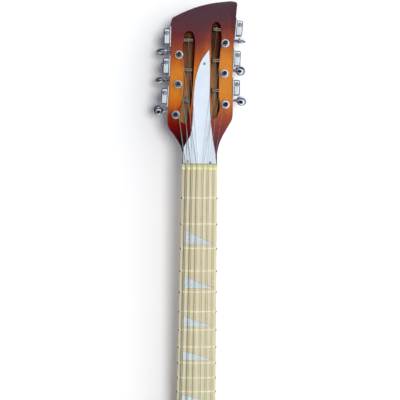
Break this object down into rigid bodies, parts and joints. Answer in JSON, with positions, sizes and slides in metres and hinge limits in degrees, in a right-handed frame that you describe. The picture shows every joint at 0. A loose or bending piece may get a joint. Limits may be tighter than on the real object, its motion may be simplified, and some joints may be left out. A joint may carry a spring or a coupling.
{
  "type": "twelve-string electric guitar",
  "caption": "Solid-body electric guitar with paired strings, a long sunburst headstock with blind channels, worm-geared tuners, a maple fingerboard, pickups, knobs and a selector.",
  "frame": {"origin": "on the body's flat back, under the middle of the saddles' line, at the strings' scale end", "axes": "+Y along the neck towards the head, +X to the treble side, +Z out of the body's front"},
  "size_m": [0.332, 0.9932, 0.0803],
  "materials": {
    "sunburst_body": "gloss sunburst lacquer",
    "sunburst_neck": "gloss sunburst lacquer",
    "maple": "gloss lacquer",
    "bone": "satin",
    "white_plastic": "gloss",
    "black_plastic": "gloss",
    "chrome": "polished",
    "steel": "satin",
    "strings": "satin"
  },
  "bodies": {
    "guitar": {"body": "sunburst_body", "bridge": "chrome", "bridge_pickup": "black_plastic", "end_pin_jack": "chrome", "fingerboard": "maple", "housing_face_bass_1": "chrome", "housing_face_bass_2": "chrome", "housing_face_bass_3": "chrome", "housing_face_treble_1": "chrome", "housing_face_treble_2": "chrome", "housing_face_treble_3": "chrome", "housing_slot_bass_1": "chrome", "housing_slot_bass_2": "chrome", "housing_slot_bass_3": "chrome", "housing_slot_treble_1": "chrome", "housing_slot_treble_2": "chrome", "housing_slot_treble_3": "chrome", "neck": "sunburst_neck", "neck_pickup": "black_plastic", "nut": "bone", "pickguard": "white_plastic", "strap_button": "chrome", "string_course_1": "strings", "string_course_2": "strings", "string_course_3": "strings", "string_course_4": "strings", "string_course_5": "strings", "string_course_6": "strings", "tailpiece": "chrome", "truss_rod": "steel", "truss_rod_cover": "white_plastic"},
    "button_face_bass_1": {"button_face_bass_1": "chrome"},
    "button_face_bass_2": {"button_face_bass_2": "chrome"},
    "button_face_bass_3": {"button_face_bass_3": "chrome"},
    "button_face_treble_1": {"button_face_treble_1": "chrome"},
    "button_face_treble_2": {"button_face_treble_2": "chrome"},
    "button_face_treble_3": {"button_face_treble_3": "chrome"},
    "button_slot_bass_1": {"button_slot_bass_1": "chrome"},
    "button_slot_bass_2": {"button_slot_bass_2": "chrome"},
    "button_slot_bass_3": {"button_slot_bass_3": "chrome"},
    "button_slot_treble_1": {"button_slot_treble_1": "chrome"},
    "button_slot_treble_2": {"button_slot_treble_2": "chrome"},
    "button_slot_treble_3": {"button_slot_treble_3": "chrome"},
    "post_face_bass_1": {"post_face_bass_1": "steel"},
    "post_face_bass_2": {"post_face_bass_2": "steel"},
    "post_face_bass_3": {"post_face_bass_3": "steel"},
    "post_face_treble_1": {"post_face_treble_1": "steel"},
    "post_face_treble_2": {"post_face_treble_2": "steel"},
    "post_face_treble_3": {"post_face_treble_3": "steel"},
    "post_slot_bass_1": {"post_slot_bass_1": "steel"},
    "post_slot_bass_2": {"post_slot_bass_2": "steel"},
    "post_slot_bass_3": {"post_slot_bass_3": "steel"},
    "post_slot_treble_1": {"post_slot_treble_1": "steel"},
    "post_slot_treble_2": {"post_slot_treble_2": "steel"},
    "post_slot_treble_3": {"post_slot_treble_3": "steel"},
    "knob_1": {"knob_1": "black_plastic"},
    "knob_2": {"knob_2": "black_plastic"},
    "knob_3": {"knob_3": "black_plastic"},
    "knob_4": {"knob_4": "black_plastic"},
    "selector_switch": {"selector_switch": "white_plastic"}
  },
  "joints": [
    {"name": "turn_button_face_bass_1", "type": "hinge", "parent": "guitar", "child": "button_face_bass_1", "pos_m": [-0.0299, 0.69625, 0.00345], "axis": [-1, 0, 0], "continuous": true},
    {"name": "turn_button_face_bass_2", "type": "hinge", "parent": "guitar", "child": "button_face_bass_2", "pos_m": [-0.0271, 0.73259, -0.00296], "axis": [-1, 0, 0], "continuous": true},
    {"name": "turn_button_face_bass_3", "type": "hinge", "parent": "guitar", "child": "button_face_bass_3", "pos_m": [-0.0262, 0.76755, -0.00912], "axis": [-1, 0, 0], "continuous": true},
    {"name": "turn_button_face_treble_1", "type": "hinge", "parent": "guitar", "child": "button_face_treble_1", "pos_m": [0.031, 0.70905, 0.00119], "axis": [1, 0, 0], "continuous": true},
    {"name": "turn_button_face_treble_2", "type": "hinge", "parent": "guitar", "child": "button_face_treble_2", "pos_m": [0.0292, 0.74598, -0.00532], "axis": [1, 0, 0], "continuous": true},
    {"name": "turn_button_face_treble_3", "type": "hinge", "parent": "guitar", "child": "button_face_treble_3", "pos_m": [0.0299, 0.78203, -0.01167], "axis": [1, 0, 0], "continuous": true},
    {"name": "turn_button_slot_bass_1", "type": "hinge", "parent": "guitar", "child": "button_slot_bass_1", "pos_m": [-0.04365, 0.7183, 0.0151], "axis": [0, -0.1736, -0.9848], "continuous": true},
    {"name": "turn_button_slot_bass_2", "type": "hinge", "parent": "guitar", "child": "button_slot_bass_2", "pos_m": [-0.04197, 0.75453, 0.00871], "axis": [0, -0.1736, -0.9848], "continuous": true},
    {"name": "turn_button_slot_bass_3", "type": "hinge", "parent": "guitar", "child": "button_slot_bass_3", "pos_m": [-0.04125, 0.78936, 0.00257], "axis": [0, -0.1736, -0.9848], "continuous": true},
    {"name": "turn_button_slot_treble_1", "type": "hinge", "parent": "guitar", "child": "button_slot_treble_1", "pos_m": [0.04482, 0.72952, 0.01312], "axis": [0, -0.1736, -0.9848], "continuous": true},
    {"name": "turn_button_slot_treble_2", "type": "hinge", "parent": "guitar", "child": "button_slot_treble_2", "pos_m": [0.04528, 0.76435, 0.00698], "axis": [0, -0.1736, -0.9848], "continuous": true},
    {"name": "turn_button_slot_treble_3", "type": "hinge", "parent": "guitar", "child": "button_slot_treble_3", "pos_m": [0.04761, 0.80032, 0.00064], "axis": [0, -0.1736, -0.9848], "continuous": true},
    {"name": "turn_post_face_bass_1", "type": "hinge", "parent": "guitar", "child": "post_face_bass_1", "pos_m": [-0.0299, 0.69047, 0.00985], "axis": [0, 0.1736, 0.9848], "continuous": true},
    {"name": "turn_post_face_bass_2", "type": "hinge", "parent": "guitar", "child": "post_face_bass_2", "pos_m": [-0.0271, 0.72681, 0.00344], "axis": [0, 0.1736, 0.9848], "continuous": true},
    {"name": "turn_post_face_bass_3", "type": "hinge", "parent": "guitar", "child": "post_face_bass_3", "pos_m": [-0.0262, 0.76177, -0.00272], "axis": [0, 0.1736, 0.9848], "continuous": true},
    {"name": "turn_post_face_treble_1", "type": "hinge", "parent": "guitar", "child": "post_face_treble_1", "pos_m": [0.031, 0.70328, 0.00759], "axis": [0, 0.1736, 0.9848], "continuous": true},
    {"name": "turn_post_face_treble_2", "type": "hinge", "parent": "guitar", "child": "post_face_treble_2", "pos_m": [0.0292, 0.74021, 0.00108], "axis": [0, 0.1736, 0.9848], "continuous": true},
    {"name": "turn_post_face_treble_3", "type": "hinge", "parent": "guitar", "child": "post_face_treble_3", "pos_m": [0.0299, 0.77625, -0.00527], "axis": [0, 0.1736, 0.9848], "continuous": true},
    {"name": "turn_post_slot_bass_1", "type": "hinge", "parent": "guitar", "child": "post_slot_bass_1", "pos_m": [-0.03875, 0.71132, 0.01633], "axis": [0.9984, -0.0565, 0.01], "continuous": true},
    {"name": "turn_post_slot_bass_2", "type": "hinge", "parent": "guitar", "child": "post_slot_bass_2", "pos_m": [-0.03691, 0.74766, 0.00992], "axis": [0.9994, -0.0344, 0.0061], "continuous": true},
    {"name": "turn_post_slot_bass_3", "type": "hinge", "parent": "guitar", "child": "post_slot_bass_3", "pos_m": [-0.03601, 0.78262, 0.00376], "axis": [1, -0.0096, 0.0017], "continuous": true},
    {"name": "turn_post_slot_treble_1", "type": "hinge", "parent": "guitar", "child": "post_slot_treble_1", "pos_m": [0.03962, 0.72274, 0.01432], "axis": [-0.9999, -0.0149, 0.0026], "continuous": true},
    {"name": "turn_post_slot_treble_2", "type": "hinge", "parent": "guitar", "child": "post_slot_treble_2", "pos_m": [0.0398, 0.7578, 0.00813], "axis": [-0.9996, 0.0268, -0.0047], "continuous": true},
    {"name": "turn_post_slot_treble_3", "type": "hinge", "parent": "guitar", "child": "post_slot_treble_3", "pos_m": [0.0418, 0.79404, 0.00175], "axis": [-0.9971, 0.075, -0.0132], "continuous": true},
    {"name": "turn_knob_1", "type": "hinge", "parent": "guitar", "child": "knob_1", "pos_m": [0.08, -0.012, 0.0363], "axis": [0, 0, 1], "range_deg": [-135, 135]},
    {"name": "turn_knob_2", "type": "hinge", "parent": "guitar", "child": "knob_2", "pos_m": [0.119, -0.024, 0.0363], "axis": [0, 0, 1], "range_deg": [-135, 135]},
    {"name": "turn_knob_3", "type": "hinge", "parent": "guitar", "child": "knob_3", "pos_m": [0.076, -0.06, 0.0363], "axis": [0, 0, 1], "range_deg": [-135, 135]},
    {"name": "turn_knob_4", "type": "hinge", "parent": "guitar", "child": "knob_4", "pos_m": [0.112, -0.074, 0.0363], "axis": [0, 0, 1], "range_deg": [-135, 135]},
    {"name": "tilt_selector_switch", "type": "hinge", "parent": "guitar", "child": "selector_switch", "pos_m": [0.088, 0.118, 0.0363], "axis": [1, 0, 0], "range_deg": [-14, 14]}
  ],
  "couplings": [
    {"joint": "turn_post_face_bass_1", "follows": "turn_button_face_bass_1", "ratio": -0.071429},
    {"joint": "turn_post_face_bass_2", "follows": "turn_button_face_bass_2", "ratio": -0.071429},
    {"joint": "turn_post_face_bass_3", "follows": "turn_button_face_bass_3", "ratio": -0.071429},
    {"joint": "turn_post_face_treble_1", "follows": "turn_button_face_treble_1", "ratio": -0.071429},
    {"joint": "turn_post_face_treble_2", "follows": "turn_button_face_treble_2", "ratio": -0.071429},
    {"joint": "turn_post_face_treble_3", "follows": "turn_button_face_treble_3", "ratio": -0.071429},
    {"joint": "turn_post_slot_bass_1", "follows": "turn_button_slot_bass_1", "ratio": -0.071429},
    {"joint": "turn_post_slot_bass_2", "follows": "turn_button_slot_bass_2", "ratio": -0.071429},
    {"joint": "turn_post_slot_bass_3", "follows": "turn_button_slot_bass_3", "ratio": -0.071429},
    {"joint": "turn_post_slot_treble_1", "follows": "turn_button_slot_treble_1", "ratio": -0.071429},
    {"joint": "turn_post_slot_treble_2", "follows": "turn_button_slot_treble_2", "ratio": -0.071429},
    {"joint": "turn_post_slot_treble_3", "follows": "turn_button_slot_treble_3", "ratio": -0.071429}
  ]
}
